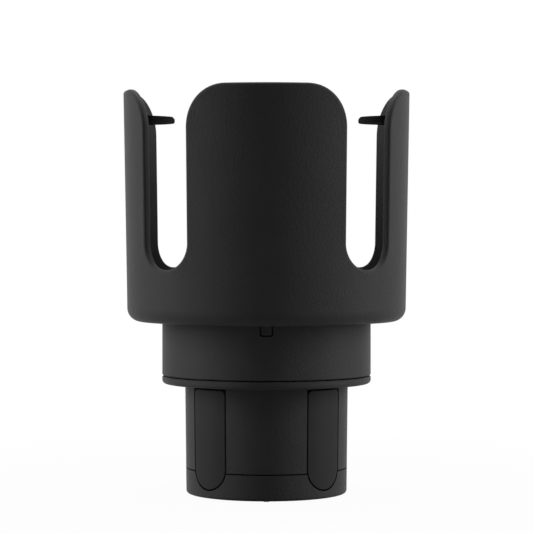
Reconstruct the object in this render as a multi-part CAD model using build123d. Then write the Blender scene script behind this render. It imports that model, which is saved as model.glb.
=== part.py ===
from build123d import *
import os
from math import cos, hypot, radians, sin, tan

os.makedirs("parts", exist_ok=True)

# A cup holder adapter: a wide slotted cup on a narrow base that drops into a vehicle's cup holder.
# Twisting the cup turns a scroll plate, which drives four feet out of the base until it is held fast.
# Millimetres. The origin is the middle of the base's underside, +Z is up and the front faces -Y.

# Base: a tapered plug of two mouldings, a sleeve with a flange and a cap
base_top_radius = 31.7
base_bottom_radius = 31.2
base_height = 42.6
base_wall = 2.4
base_edge_round = 1.2
cap_height = 10.0
cap_floor = 2.4
seam_gap = 0.3
lip_wall = 1.4
lip_height = 2.5
flange_thickness = 2.9
flange_round = 1.5
nib_width = 2.0

# Feet: rounded blocks that slide out through windows in the base
foot_width = 16.4
foot_bottom = 3.5
foot_top_drop = 1.2
foot_corner_round = 1.8
foot_gap = 0.45
foot_wall = 1.8
foot_pad_thickness = 2.2
foot_travel = 9.0
foot_spacing = 3.3
neck_length = 7.0
neck_width = 5.0
neck_gap = 0.2
runner_width = 4.0
runner_gap = 0.2

# Scroll: the plate whose spiral slots push the feet out over one twist of the cup
twist_angle = 100.0
pin_radius = 2.0
pin_gap = 0.15
scroll_steps = 10
scroll_thickness = 4.0
hub_wall = 3.4
hub_rise = 3.0
post_radius = 6.0
post_gap = 0.1
shoulder_radius = 9.0
end_play = 0.15
washer_radius = 9.0
washer_thickness = 1.2

# Collar: the turning ring between the base and the cup
collar_radius = 40.6
collar_height = 20.8
collar_wall = 2.6
collar_web = 2.8
web_width = 16.0
turn_gap = 0.45
edge_break = 0.3
lug_width = 4.0
lug_height = 3.9
lug_gap = 0.45
lug_round = 0.7

# Cup: four panels parted by slots that take a mug's handle
cup_base_radius = 54.1
cup_top_radius = 55.7
cup_height = 89.2
cup_wall = 3.0
cup_floor = 3.0
cup_bottom_round = 5.2
cup_inner_round = 4.0
slot_angle = 24.0
slot_floor_height = 20.4
slot_floor_flat = 1.0
panel_corner_round = 15.9
edge_round = 1.1
wall_share = 0.4
mat_thickness = 2.0
mat_bevel = 0.7
mat_gap = 0.6

# Fins: rubber tongues that steady a narrow bottle
fin_drop = 11.0
fin_tip_radius = 35.9
fin_width = 24.5
fin_tip_round = 9.0
fin_root_thickness = 2.7
fin_tip_thickness = 2.0
fin_seat_width = 28.0
fin_seat_height = 9.0
fin_seat_depth = 1.4
fin_seat_round = 2.0

# Screws: all of one kind, with a cross recess, and a larger one on the pivot
screw_shank_radius = 1.5
screw_head_radius = 2.8
screw_head_height = 1.8
screw_grip = 10.0
pivot_shank_radius = 2.0
pivot_head_radius = 4.0
pivot_head_height = 2.6
pivot_grip = 8.0
head_bevel = 0.6
recess_width = 0.9
boss_wall = 2.0
head_gap = 0.3
fit_gap = 0.1

# Heights and radii that follow from the sizes above
flange_top = base_height + flange_thickness
collar_bottom = flange_top + turn_gap
cup_bottom = collar_bottom + collar_height
cup_top = cup_bottom + cup_height
web_bottom = cup_bottom - collar_web
floor_top = cup_bottom + cup_floor
slot_floor = cup_bottom + slot_floor_height
foot_top = base_height - foot_top_drop
deck_bottom = foot_top + foot_gap
cap_top = cap_height - seam_gap / 2
sleeve_bottom = cap_height + seam_gap / 2
scroll_top = collar_bottom + scroll_thickness
hub_top = scroll_top + hub_rise
post_top = hub_top + end_play
washer_top = post_top + washer_thickness
foot_back = foot_width / 2 + foot_spacing
pin_rest_radius = foot_back + neck_length / 2
pin_slot_width = 2 * (pin_radius + pin_gap)
scroll_radius = collar_radius - collar_wall - fit_gap
boss_radius = screw_shank_radius + boss_wall
cap_screw_circle = base_bottom_radius - base_wall - fit_gap - lip_wall - boss_radius - foot_gap
cup_screw_circle = (pin_rest_radius + foot_travel + pin_slot_width / 2 + scroll_radius) / 2
screw_seat_depth = screw_head_height + head_gap
rim_round = min(edge_round, wall_share * cup_wall)
reach = 2 * cup_top_radius
tolerance = 0.01

# Where the four panels and the four feet face, in degrees about Z from +X
panels = {"right": 0, "back": 90, "left": 180, "front": 270}
feet = {"back_right": 45, "back_left": 135, "front_left": 225, "front_right": 315}


def turned(*outline):
    """A solid of revolution about Z from (radius, height) corners."""
    return revolve(Plane.XZ * make_face(Polyline(*outline, close=True)), Axis.Z)


def rod(radius, low, high):
    """An upright cylinder on the Z axis between two heights."""
    return Pos(0, 0, low) * Cylinder(radius, high - low, align=(Align.CENTER, Align.CENTER, Align.MIN))


def base_radius(height):
    """The base's outside radius at a height, along its draft."""
    return base_bottom_radius + (base_top_radius - base_bottom_radius) * height / base_height


def base_body(inset, low, high):
    """The base's tapered body between two heights, drawn in by an inset."""
    return turned((0, low), (base_radius(low) - inset, low), (base_radius(high) - inset, high), (0, high))


def cup_radius(height):
    """The cup's outside radius at a height, along its draft."""
    return cup_base_radius + (cup_top_radius - cup_base_radius) * (height - cup_bottom) / cup_height


def cup_cone(inset, low, high):
    """The cup's tapered form between two heights, drawn in by an inset."""
    return turned((0, low), (cup_radius(low) - inset, low), (cup_radius(high) - inset, high), (0, high))


def around(shape, places, radius=0.0):
    """Copies of a shape, moved out along +X by a radius and turned to each of the places about Z."""
    return [Rot(0, 0, angle) * Pos(radius, 0, 0) * shape for angle in places.values()]


def corner_strip(radius):
    """What rounding a square corner takes away, in the +Y +Z quadrant, run out along +X."""
    square = Rectangle(radius, radius, align=Align.MIN)
    return extrude(Plane.YZ * (square - Pos(radius, radius) * Circle(radius)), amount=reach)


def foot_block(margin, back):
    """The foot's outline, grown by a margin, run out along +X from a distance off the axis."""
    half = foot_width / 2 + margin
    middle = foot_bottom + foot_width / 2
    top = foot_top + margin
    upper = Pos(0, (middle + top) / 2) * Rectangle(2 * half, top - middle)
    upper = fillet(upper.vertices().group_by(Axis.Y)[-1], foot_corner_round)
    outline = upper + Pos(0, middle) * Circle(half)
    return extrude(Plane.YZ.offset(back) * outline, amount=reach)


def screw(shank_radius, shank_length, head_radius, head_height):
    """A pan-head screw with its head standing on the XY plane and its shank below."""
    head = rod(head_radius, 0, head_height)
    head = chamfer(head.edges().group_by(Axis.Z)[-1], head_bevel)
    recess = Box(head_radius, recess_width, head_height) + Box(recess_width, head_radius, head_height)
    return head + rod(shank_radius, -shank_length, 0) - Pos(0, 0, head_height) * recess


def base_sleeve():
    """The upper base moulding: wall, flange, deck, pivot post and bosses for the cap's screws."""
    flange = rod(collar_radius, base_height, flange_top)
    flange = fillet(flange.edges().group_by(Axis.Z)[0], flange_round)
    flange = chamfer(flange.edges().group_by(Axis.Z)[-1], edge_break)
    sleeve = base_body(0, sleeve_bottom, base_height) - base_body(base_wall, sleeve_bottom, deck_bottom)
    sleeve += flange
    boss = rod(boss_radius, cap_height, deck_bottom)
    rib_bottom = cap_top + lip_height + head_gap
    rib_length = base_top_radius - base_wall / 2 - cap_screw_circle
    rib = Pos(0, 0, rib_bottom) * Box(
        rib_length, base_wall, deck_bottom - rib_bottom, align=(Align.MIN, Align.CENTER, Align.MIN)
    )
    sleeve += around(boss + rib, panels, cap_screw_circle)
    pilot = rod(screw_shank_radius + fit_gap, cap_height, cap_height + screw_grip)
    sleeve -= around(pilot, panels, cap_screw_circle)
    sleeve -= around(foot_block(foot_gap, cap_screw_circle), feet)
    slot_length = neck_length + foot_travel + 2 * neck_gap
    slot = Pos(foot_back - neck_gap, 0, deck_bottom) * Box(
        slot_length, neck_width + 2 * neck_gap, reach, align=(Align.MIN, Align.CENTER, Align.MIN)
    )
    sleeve -= around(slot, feet)
    sleeve += rod(shoulder_radius, flange_top, collar_bottom) + rod(post_radius, flange_top, post_top)
    return sleeve - rod(pivot_shank_radius + fit_gap, post_top - pivot_grip, post_top)


def base_cap():
    """The lower base moulding: floor, locating lip, foot runners and screw posts."""
    shell = base_body(0, 0, cap_top)
    shell = fillet(shell.edges().group_by(Axis.Z)[0], base_edge_round)
    nib = Pos(0, -base_bottom_radius, 0) * Box(
        nib_width, 2 * base_edge_round, base_edge_round, align=(Align.CENTER, Align.CENTER, Align.MIN)
    )
    shell += nib & base_body(0, 0, cap_top)
    lip_top = cap_top + lip_height
    lip_inset = base_wall + fit_gap
    shell += base_body(lip_inset, cap_floor, lip_top)
    shell -= base_body(lip_inset + lip_wall, cap_floor, lip_top)
    shell += around(rod(boss_radius, cap_floor, cap_height), panels, cap_screw_circle)
    shell -= around(foot_block(foot_gap, cap_screw_circle), feet)
    runner_length = base_bottom_radius - base_wall - foot_back
    runner_height = foot_bottom - runner_gap - cap_floor
    runner = Pos(foot_back, 0, cap_floor) * Box(
        runner_length, runner_width, runner_height, align=(Align.MIN, Align.CENTER, Align.MIN)
    )
    shell += around(runner, feet)
    seat = rod(screw_head_radius + head_gap, 0, screw_seat_depth)
    hole = rod(screw_shank_radius + fit_gap, 0, cap_height)
    return shell - around(seat + hole, panels, cap_screw_circle)


def cap_screws():
    """The four screws that come up through the cap into the sleeve's bosses."""
    length = cap_height - screw_seat_depth + screw_grip - head_gap
    one = screw(screw_shank_radius, length, screw_head_radius, screw_head_height)
    return Compound(around(Pos(0, 0, screw_seat_depth) * Rot(180, 0, 0) * one, panels, cap_screw_circle))


def pivot_washer():
    """The washer on the pivot post that keeps the scroll plate down."""
    return rod(washer_radius, post_top, washer_top) - rod(pivot_shank_radius + fit_gap, post_top, washer_top)


def pivot_screw():
    """The screw that holds the washer on the pivot post."""
    length = washer_thickness + pivot_grip - head_gap
    return Pos(0, 0, washer_top) * screw(pivot_shank_radius, length, pivot_head_radius, pivot_head_height)


def scroll_wall(offset):
    """One wall of a spiral slot, at an offset from the follower pin's path over the twist."""
    lead = foot_travel / radians(twist_angle)
    points = []
    for step in range(scroll_steps + 1):
        angle = radians(twist_angle) * step / scroll_steps
        radius = pin_rest_radius + lead * angle
        shift = offset / hypot(radius, lead)
        outward = radius * (1 + shift)
        backward = lead * shift
        across = outward * cos(angle) + backward * sin(angle)
        along = outward * sin(angle) - backward * cos(angle)
        points.append((across, along))
    return Spline(*points)


def scroll_slot():
    """A spiral slot whose radius grows evenly from the foot's rest to its full travel, with round ends."""
    half = pin_slot_width / 2
    inner = scroll_wall(-half)
    outer = scroll_wall(half)
    outline = make_face([inner, Line(inner @ 1, outer @ 1), outer, Line(outer @ 0, inner @ 0)])
    start = Pos((inner @ 0 + outer @ 0) / 2) * Circle(half)
    end = Pos((inner @ 1 + outer @ 1) / 2) * Circle(half)
    return outline + start + end


def scroll_plate():
    """The plate that turns with the cup: hub, four spiral slots and four screw bosses."""
    plate = rod(scroll_radius, collar_bottom, scroll_top)
    plate += rod(post_radius + post_gap + hub_wall, collar_bottom, hub_top)
    plate += around(rod(boss_radius, collar_bottom, web_bottom), feet, cup_screw_circle)
    plate -= rod(post_radius + post_gap, collar_bottom, hub_top)
    pilot = rod(screw_shank_radius + fit_gap, web_bottom - screw_grip, web_bottom)
    plate -= around(pilot, feet, cup_screw_circle)
    slot = Pos(0, 0, collar_bottom) * extrude(scroll_slot(), amount=scroll_thickness)
    return plate - around(slot, feet)


def collar():
    """The ring between base and cup, with a screw web and notches for the cup's lugs at the top."""
    inside = collar_radius - collar_wall
    ring = turned(
        (inside, collar_bottom),
        (collar_radius, collar_bottom),
        (collar_radius, cup_bottom),
        (inside - web_width, cup_bottom),
        (inside - web_width, web_bottom),
        (inside, web_bottom),
    )
    ring = chamfer(ring.edges().group_by(Axis.Z)[0].sort_by(SortBy.RADIUS)[-1], edge_break)
    notch_depth = lug_height + lug_gap
    notch = Pos(inside - lug_gap, 0, cup_bottom - notch_depth) * Box(
        reach, lug_width + 2 * lug_gap, notch_depth, align=(Align.MIN, Align.CENTER, Align.MIN)
    )
    notch = fillet(notch.edges().filter_by(Axis.X).group_by(Axis.Z)[0], lug_round)
    flare = mirror(corner_strip(lug_round), about=Plane.XY)
    flare = Pos(inside - lug_gap, lug_width / 2 + lug_gap, cup_bottom) * flare
    ring -= around(notch + [flare, mirror(flare, about=Plane.XZ)], panels)
    hole = rod(screw_shank_radius + fit_gap, web_bottom, cup_bottom)
    return ring - around(hole, feet, cup_screw_circle)


def cup_bowl():
    """The cup as turned, before its slots are cut: tapered wall, floor and rounded corners."""
    inside_low = cup_radius(floor_top) - cup_wall
    inside_high = cup_top_radius - cup_wall
    profile = make_face(
        Polyline(
            (0, cup_bottom),
            (cup_base_radius, cup_bottom),
            (cup_top_radius, cup_top),
            (inside_high, cup_top),
            (inside_low, floor_top),
            (0, floor_top),
            close=True,
        )
    )
    profile = fillet(profile.vertices().sort_by_distance((cup_base_radius, cup_bottom))[0], cup_bottom_round)
    profile = fillet(profile.vertices().sort_by_distance((inside_low, floor_top))[0], cup_inner_round)
    return revolve(Plane.XZ * profile, Axis.Z)


def handle_slot():
    """What a slot cuts from the cup along +X: a wedge with a rounded floor, and both panels' corners."""
    half_angle = slot_angle / 2
    half_width = reach * tan(radians(half_angle))
    wedge = make_face(Polyline((0, 0), (reach, -half_width), (reach, half_width), close=True))
    slot = Pos(0, 0, slot_floor) * extrude(wedge, amount=cup_height)
    floor_round = (cup_radius(slot_floor) - cup_wall) * sin(radians(half_angle)) - slot_floor_flat / 2
    low_strip = Rot(0, 0, -half_angle) * Pos(0, 0, slot_floor) * corner_strip(floor_round)
    high_strip = Pos(0, 0, cup_top) * mirror(corner_strip(panel_corner_round), about=Plane.XY)
    high_strip = Rot(0, 0, half_angle) * high_strip
    slot -= [low_strip, mirror(low_strip, about=Plane.XZ)]
    return slot + [high_strip, mirror(high_strip, about=Plane.XZ)]


def cup_body():
    """The cup: bowl with four handle slots, rounded panels, fin pockets, drive lugs and screw holes."""
    cup = cup_bowl() - around(handle_slot(), feet)
    outline = []
    for edge in cup.edges():
        box = edge.bounding_box()
        radial = edge.geom_type == GeomType.LINE and box.size.Z < tolerance
        if box.min.Z > slot_floor - tolerance and not radial:
            outline.append(edge)
    cup = fillet(outline, rim_round)
    cup -= around(fin_seat(fit_gap), panels)
    lug_back = collar_radius - collar_wall
    lug = Pos(lug_back, 0, cup_bottom - lug_height) * Box(
        collar_wall, lug_width, lug_height + cup_floor / 2, align=(Align.MIN, Align.CENTER, Align.MIN)
    )
    lug = fillet(lug.edges().filter_by(Axis.X).group_by(Axis.Z)[0], lug_round)
    lug &= rod(collar_radius, cup_bottom - lug_height, floor_top)
    cup += around(lug, panels)
    seat = rod(screw_head_radius + head_gap, floor_top - screw_seat_depth, floor_top)
    hole = rod(screw_shank_radius + fit_gap, cup_bottom, floor_top)
    return cup - around(seat + hole, feet, cup_screw_circle)


def fin_seat(margin):
    """The shallow pocket for a fin's root, grown by a margin, in the inner face of the +X panel."""
    middle = cup_top - fin_drop
    outline = RectangleRounded(fin_seat_width + 2 * margin, fin_seat_height + 2 * margin, fin_seat_round)
    block = extrude(Plane.YZ * Pos(0, middle) * outline, amount=reach)
    low = middle - fin_seat_height
    high = middle + fin_seat_height
    ring = cup_cone(cup_wall - fin_seat_depth - margin, low, high) - cup_cone(cup_wall, low, high)
    return block & ring


def grip_fin():
    """A rubber fin on the +X panel: a tapered tongue on a curved root plate."""
    middle = cup_top - fin_drop
    root = cup_radius(middle) - cup_wall + fin_seat_depth / 2
    length = root - fin_tip_radius
    section = make_face(
        Polyline(
            (root, -fin_root_thickness / 2),
            (root, fin_root_thickness / 2),
            (fin_tip_radius, fin_tip_thickness / 2),
            (fin_tip_radius, -fin_tip_thickness / 2),
            close=True,
        )
    )
    section = fillet(section.vertices().group_by(Axis.X)[0], wall_share * fin_tip_thickness)
    plan = Pos(fin_tip_radius + length / 2, 0) * Rectangle(length, fin_width)
    plan = fillet(plan.vertices().group_by(Axis.X)[0], fin_tip_round)
    tongue = extrude(Plane.XZ * section, amount=fin_width, both=True)
    tongue &= Pos(0, 0, -fin_root_thickness) * extrude(plan, amount=2 * fin_root_thickness)
    tongue = Pos(0, 0, middle) * tongue
    tongue &= cup_cone(cup_wall - fin_seat_depth / 2, middle - fin_seat_height, middle + fin_seat_height)
    return tongue + fin_seat(0)


def cup_mat():
    """The soft mat on the cup's floor that covers the screws."""
    radius = cup_radius(floor_top) - cup_wall - cup_inner_round - mat_gap
    mat = rod(radius, floor_top, floor_top + mat_thickness)
    return chamfer(mat.edges().group_by(Axis.Z)[-1], mat_bevel)


def cup_screws():
    """The four screws that clamp cup, collar and scroll plate together."""
    seat = floor_top - screw_seat_depth
    length = seat - web_bottom + screw_grip - head_gap
    one = screw(screw_shank_radius, length, screw_head_radius, screw_head_height)
    return Compound(around(Pos(0, 0, seat) * one, feet, cup_screw_circle))


def foot_pad():
    """The rubber facing of a foot on the +X side, flush with the base's wall."""
    shell = base_body(0, 0, base_height) - base_body(foot_pad_thickness, 0, base_height)
    pad = foot_block(0, foot_back) & shell
    return fillet(pad.faces().sort_by(Axis.X)[-1].edges(), edge_break)


def foot_slider():
    """A foot's carrier on the +X side: a box open at the back, with a neck and a follower pin on top."""
    block = foot_block(0, foot_back) & base_body(foot_pad_thickness, 0, base_height)
    hollow = foot_block(-foot_wall, foot_back) & base_body(foot_pad_thickness + foot_wall, 0, base_height)
    neck = Pos(foot_back, 0, foot_top) * Box(
        neck_length, neck_width, flange_top - foot_top, align=(Align.MIN, Align.CENTER, Align.MIN)
    )
    pin = Pos(pin_rest_radius, 0, 0) * rod(pin_radius, flange_top, scroll_top - pin_gap)
    return block - hollow + neck + pin


export_step(base_sleeve(), "parts/base_sleeve.step")
export_step(base_cap(), "parts/base_cap.step")
export_step(cap_screws(), "parts/cap_screws.step")
export_step(pivot_washer(), "parts/pivot_washer.step")
export_step(pivot_screw(), "parts/pivot_screw.step")
export_step(scroll_plate(), "parts/scroll_plate.step")
export_step(collar(), "parts/collar.step")
export_step(cup_body(), "parts/cup_body.step")
export_step(cup_mat(), "parts/cup_mat.step")
export_step(cup_screws(), "parts/cup_screws.step")

for name, fin in zip(panels, around(grip_fin(), panels)):
    export_step(fin, f"parts/grip_fin_{name}.step")

for name, slider, pad in zip(feet, around(foot_slider(), feet), around(foot_pad(), feet)):
    export_step(slider, f"parts/foot_slider_{name}.step")
    export_step(pad, f"parts/foot_pad_{name}.step")
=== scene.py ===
import math

import bpy
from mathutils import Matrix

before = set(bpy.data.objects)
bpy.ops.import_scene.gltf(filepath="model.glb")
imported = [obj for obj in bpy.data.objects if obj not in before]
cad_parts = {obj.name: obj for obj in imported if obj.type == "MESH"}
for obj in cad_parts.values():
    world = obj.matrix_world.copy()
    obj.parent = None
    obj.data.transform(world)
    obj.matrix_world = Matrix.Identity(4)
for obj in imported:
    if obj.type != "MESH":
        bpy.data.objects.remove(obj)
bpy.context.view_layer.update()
bpy.ops.object.select_all(action="DESELECT")


# Base sleeve and base cap
# The plug that drops into the vehicle's cup holder: two black nylon mouldings, screwed together at a fine
# seam. Their mould was spark eroded, which leaves an even matt grain on every outer face.


class Value:
    """A socket in a node tree, so that shader maths reads as plain expressions."""

    def __init__(self, socket):
        self.socket = socket

    @classmethod
    def from_node(cls, tree, kind, settings, sockets, output=0):
        """Adds a node to a tree, sets it up, feeds its sockets and returns one of its outputs."""
        made = tree.nodes.new(kind)
        for name, setting in settings.items():
            setattr(made, name, setting)
        for name, source in sockets.items():
            if isinstance(source, Value):
                tree.links.new(source.socket, made.inputs[name])
            else:
                made.inputs[name].default_value = source
        return cls(made.outputs[output])

    def node(self, kind, settings, sockets, output=0):
        """The same, in the tree that this value belongs to."""
        return self.from_node(self.socket.id_data, kind, settings, sockets, output)

    def apply(self, operation, other=0.0):
        """One step of maths on this value, and on a second one where the operation takes two."""
        return self.node("ShaderNodeMath", {"operation": operation}, {0: self, 1: other})

    def __add__(self, other):
        return self.apply("ADD", other)

    __radd__ = __add__

    def __mul__(self, other):
        return self.apply("MULTIPLY", other)

    __rmul__ = __mul__


def new_finish(name):
    """A fresh material: returns it, its shader node and the object coordinates that its pattern reads."""
    finish = bpy.data.materials.new(name)
    finish.use_nodes = True
    shader = finish.node_tree.nodes["Principled BSDF"]
    place = Value.from_node(finish.node_tree, "ShaderNodeTexCoord", {}, {}, "Object")
    return finish, shader, place


def noise(place, size, detail, roughness=0.5):
    """Even noise whose patches are about the given size across, in metres."""
    sockets = {"Vector": place, "Scale": 1 / size, "Detail": detail, "Roughness": roughness}
    return place.node("ShaderNodeTexNoise", {}, sockets)


def blend_colours(share, low, high):
    """Goes from one colour to another as the share goes from 0 to 1."""
    factor, first, second, blended = 0, 6, 7, 2  # places of the colour sockets in a Mix node
    settings = {"data_type": "RGBA", "clamp_factor": True}
    sockets = {factor: share, first: (*low, 1), second: (*high, 1)}
    return share.node("ShaderNodeMix", settings, sockets, blended)


def feed(shader, name, value):
    """Links a value to one of the shader's sockets."""
    shader.id_data.links.new(value.socket, shader.inputs[name])


def roughen(shader, height, depth):
    """Raises the surface where the height is 1, by the depth in metres."""
    sockets = {"Strength": 1.0, "Distance": depth, "Height": height}
    feed(shader, "Normal", height.node("ShaderNodeBump", {}, sockets))


def moulded_plastic(name, low, high, roughness, grain_depth):
    """Black moulded plastic: faint cloudy tone, and an eroded grain in the gloss and the surface."""
    cloud_size, pore_size, grain_size = 0.014, 0.0009, 0.00032
    cloud_share, pore_share = 0.55, 0.7
    cloud_dulling, grain_dulling, polish = 0.06, 0.05, 0.05
    finish, shader, place = new_finish(name)
    cloud = noise(place, cloud_size, 3)
    grain = noise(place, grain_size, 2, 0.6)
    pores = noise(place, pore_size, 1)
    tone = cloud_share * cloud + (1 - cloud_share) * grain
    feed(shader, "Base Color", blend_colours(tone, low, high))
    feed(shader, "Roughness", roughness - polish + cloud_dulling * cloud + grain_dulling * grain)
    roughen(shader, (1 - pore_share) * grain + pore_share * pores, grain_depth)
    shader.inputs["Specular IOR Level"].default_value = 0.026
    return finish


def along(finish, axis):
    """How far along X, Y or Z a point lies, in the object coordinates that a finish reads."""
    place = Value.from_node(finish.node_tree, "ShaderNodeTexCoord", {}, {}, "Object")
    return place.node("ShaderNodeSeparateXYZ", {}, {"Vector": place}, axis)


def paint_gap_shade(finish, offset, half_gap, fade):
    """Paints shade into the colour: blackens a fine gap's inner faces, and its lips in a short fade. The
    offset is from its middle.
    """
    shader = finish.node_tree.nodes["Principled BSDF"]
    plain = Value(shader.inputs["Base Color"].links[0].from_socket)
    lit_range = {"Value": offset.apply("ABSOLUTE"), "From Min": half_gap, "From Max": half_gap + fade}
    lit = offset.node("ShaderNodeMapRange", {}, lit_range)
    # Painted shade: the base colour is scaled down to black inside the gap and fades back over its lips.
    shaded = plain.node("ShaderNodeVectorMath", {"operation": "SCALE"}, {0: plain, "Scale": lit})
    feed(shader, "Base Color", shaded)


def paint_seam_shade(finish):
    """Paints shade on the seam between sleeve and cap, whose middle is level with the ends of the sleeve's
    bosses.
    """
    half_gap, fade = 0.00016, 0.00016
    height = min(vertex.co.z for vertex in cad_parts["base_sleeve"].data.vertices)
    paint_gap_shade(finish, along(finish, "Z") + -height, half_gap, fade)


def paint_foot_window_shade(finish):
    """Paints shade on the walls round the four feet, which face the diagonals and have a round lower end."""
    half_gap, fade = 0.00023, 0.00005
    diagonal = math.sqrt(0.5)
    pad = [vertex.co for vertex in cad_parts["foot_pad_front_left"].data.vertices]
    half_width = max(abs(abs(point.x) - abs(point.y)) for point in pad) * diagonal
    middle = min(point.z for point in pad) + half_width
    top = max(point.z for point in pad)
    x, y, z = (along(finish, axis) for axis in "XYZ")
    across = (x.apply("ABSOLUTE") + -1 * y.apply("ABSOLUTE")) * diagonal
    below = (z + -middle).apply("MINIMUM", 0.0)
    beside = (across * across + below * below).apply("SQRT") + -half_width
    outside = beside.apply("MAXIMUM", z + -top)
    # Painted shade: the colour goes black inside the gap round each foot.
    paint_gap_shade(finish, outside + -half_gap, half_gap, fade)


def dress(names, finish):
    """Gives CAD nodes their finish."""
    for name in names:
        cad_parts[name].data.materials.clear()
        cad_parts[name].data.materials.append(finish)


eroded_dark, eroded_light = (0.042, 0.042, 0.0425), (0.057, 0.057, 0.0577)
eroded_roughness, eroded_depth = 0.46, 0.0002
base_black = moulded_plastic("base_black", eroded_dark, eroded_light, eroded_roughness, eroded_depth)
# Painted shade: the seam and the walls round the feet are blackened in the base's colour, with a short fade
# onto their lips.
paint_seam_shade(base_black)
paint_foot_window_shade(base_black)
dress(["base_sleeve", "base_cap"], base_black)


# Screws and washer
# Zinc-plated steel pan heads in the underside of the cap, and inside on the pivot post and under the mat.
# They are plated in a barrel, which leaves a fine speckle in their shine.


def plated_steel(name):
    """Zinc plate: a cool bright metal with fine speckle in its gloss."""
    speckle_size = 0.0004
    polish, speckle_dulling = 0.24, 0.16
    finish, shader, place = new_finish(name)
    speckle = noise(place, speckle_size, 3)
    feed(shader, "Base Color", blend_colours(speckle, (0.42, 0.43, 0.45), (0.6, 0.6, 0.6)))
    feed(shader, "Roughness", polish + speckle_dulling * speckle)
    shader.inputs["Metallic"].default_value = 1.0
    return finish


dress(["cap_screws", "cup_screws", "pivot_screw", "pivot_washer"], plated_steel("zinc_plate"))


# Feet
# Four hollow nylon sliders, each faced with a satin rubber pad that lies flush with the base until the
# twist drives it out. The follower pin on top rides in the scroll plate.


def soft_rubber(name, low, high, roughness, gloss):
    """Black rubber: a satin skin with a slow change of tone and a fine dusty grain."""
    cloud_size, dust_size, dust_depth = 0.009, 0.00025, 0.00001
    cloud_share = 0.5
    cloud_dulling, dust_dulling, polish = 0.05, 0.05, 0.04
    finish, shader, place = new_finish(name)
    cloud = noise(place, cloud_size, 2)
    dust = noise(place, dust_size, 2, 0.7)
    tone = cloud_share * cloud + (1 - cloud_share) * dust
    feed(shader, "Base Color", blend_colours(tone, low, high))
    feed(shader, "Roughness", roughness - polish + cloud_dulling * cloud + dust_dulling * dust)
    roughen(shader, dust, dust_depth)
    shader.inputs["Specular IOR Level"].default_value = gloss
    return finish


feet = ["front_left", "front_right", "back_left", "back_right"]
smooth_depth = 0.00004
slider_black = moulded_plastic(
    "slider_black", (0.008, 0.008, 0.0085), (0.014, 0.014, 0.0145), 0.4, smooth_depth
)
pad_black = soft_rubber("pad_black", (0.0245, 0.0245, 0.0248), (0.032, 0.032, 0.0323), 0.46, 0.035)
dress([f"foot_slider_{foot}" for foot in feet], slider_black)
dress([f"foot_pad_{foot}" for foot in feet], pad_black)


# Scroll plate
# The acetal plate inside the collar, with a spiral slot for each foot's pin. It is smoother than the
# outside, so that the pins slide easily.

scroll_black = moulded_plastic(
    "scroll_black", (0.012, 0.012, 0.0125), (0.02, 0.02, 0.0205), 0.34, smooth_depth
)
dress(["scroll_plate"], scroll_black)


# Collar
# The turning ring between base and cup, moulded in the same black nylon with the same grain.
# The cup's lugs drop into notches in its top edge.

dress(["collar"], base_black)


# Cup
# One black moulding: four tall panels parted by handle slots, on a round floor. Its mould was eroded in
# the same way as the base's.

cup_black = moulded_plastic("cup_black", eroded_dark, eroded_light, eroded_roughness, eroded_depth)
dress(["cup_body"], cup_black)


# Fins and mat
# Softer, duller rubber than the feet: the tongues bend to hold a narrow bottle, and the mat lies loose on
# the floor of the cup and covers the screws.

fin_black = soft_rubber("fin_black", (0.019, 0.019, 0.0194), (0.028, 0.028, 0.0284), 0.75, 0.01)
dress(["grip_fin_front", "grip_fin_right", "grip_fin_back", "grip_fin_left", "cup_mat"], fin_black)


# Floor and backdrop
# A plain pale sweep that meets the view as white, just below the base so that the two never coincide.
# It still takes a soft shadow near the object.


def background_rays(tree):
    """1 where the camera, a reflection or a ray through glass looks, and 0 for the rays that light things."""
    camera, glossy, transmission = (
        Value.from_node(tree, "ShaderNodeLightPath", {}, {}, f"Is {kind} Ray")
        for kind in ("Camera", "Glossy", "Transmission")
    )
    looks = camera + glossy + transmission
    return looks.node("ShaderNodeClamp", {}, {"Value": looks})


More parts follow.
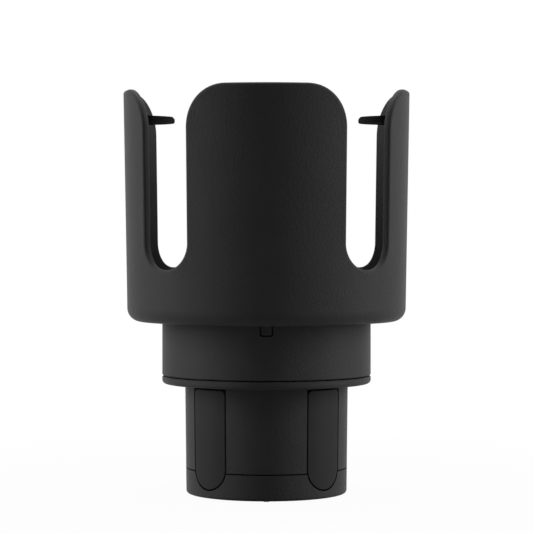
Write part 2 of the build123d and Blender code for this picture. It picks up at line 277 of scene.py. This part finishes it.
floor_half = 3.0
floor_gap = 0.0003
floor_grey = 0.2
shade_reach = 0.3
least_glow = 0.96
bpy.ops.mesh.primitive_plane_add(size=2 * floor_half, location=(0, 0, -floor_gap))
floor = bpy.context.object
floor.name = "floor"
white, white_shader, white_place = new_finish("white_sweep")
white_shader.inputs["Base Color"].default_value = (floor_grey, floor_grey, floor_grey, 1)
white_shader.inputs["Roughness"].default_value = 0.9
matt = Value(white_shader.outputs["BSDF"])
looks = background_rays(white.node_tree)
glow = looks.node("ShaderNodeEmission", {}, {"Color": (1, 1, 1, 1), "Strength": 1.0})
away = white_place.node("ShaderNodeVectorMath", {"operation": "LENGTH"}, {0: white_place}, "Value")
glow_range = {"Value": away, "From Max": shade_reach, "To Min": least_glow, "To Max": 1.0}
glow_share = away.node("ShaderNodeMapRange", {}, glow_range)
sweep = looks.node("ShaderNodeMixShader", {}, {0: glow_share * looks, 1: matt, 2: glow})
white.node_tree.links.new(sweep.socket, white.node_tree.nodes["Material Output"].inputs["Surface"])
floor.data.materials.append(white)


# World
# White wherever the camera or a reflection looks, and a low even light for the rest.

even_light = 0.01
world = bpy.data.worlds.new("studio")
bpy.context.scene.world = world
world.use_nodes = True
background = world.node_tree.nodes["Background"]
background.inputs["Color"].default_value = (1, 1, 1, 1)
strength = even_light + (1 - even_light) * background_rays(world.node_tree)
feed(background, "Strength", strength)


# Lights
# Two tall softboxes, one at each side, so that the flanks are bright and the middle stays dark, and a
# third above and behind for the rims and the inside of the cup.


def softbox(name, place, width, height, power):
    """A rectangular lamp that faces the middle of the object."""
    middle = (0, 0, 0.08)
    bpy.ops.object.light_add(type="AREA", location=place)
    lamp = bpy.context.object
    lamp.name = name
    lamp.data.shape = "RECTANGLE"
    lamp.data.size = width
    lamp.data.size_y = height
    lamp.data.energy = power
    x, y, z = (aim - start for aim, start in zip(middle, place))
    lamp.rotation_euler = (math.atan2(math.hypot(x, y), -z), 0, math.atan2(y, x) - math.pi / 2)


softbox("left_box", (-1.0, -0.08, 0.25), width=0.36, height=1.2, power=13.5)
softbox("right_box", (1.0, -0.08, 0.25), width=0.36, height=1.2, power=13.5)
softbox("top_box", (0, 0.35, 1.2), width=0.8, height=0.6, power=12)


# Camera
# Level with the lower part of the cup, straight on to the front panel, with a long lens.

photo_size = 533
focal_pixels = 2140
horizon_pixel = 236.1
eye_height = 0.0998
eye_distance = 0.8346
sensor_width = 36.0
bpy.ops.object.camera_add(location=(0, -eye_distance, eye_height), rotation=(math.pi / 2, 0, 0))
camera = bpy.context.object
camera.data.sensor_width = sensor_width
camera.data.lens = sensor_width * focal_pixels / photo_size
camera.data.shift_y = (horizon_pixel - photo_size / 2) / photo_size
camera.data.clip_start = 0.05
bpy.context.scene.camera = camera
bpy.context.scene.view_settings.view_transform = "Standard"
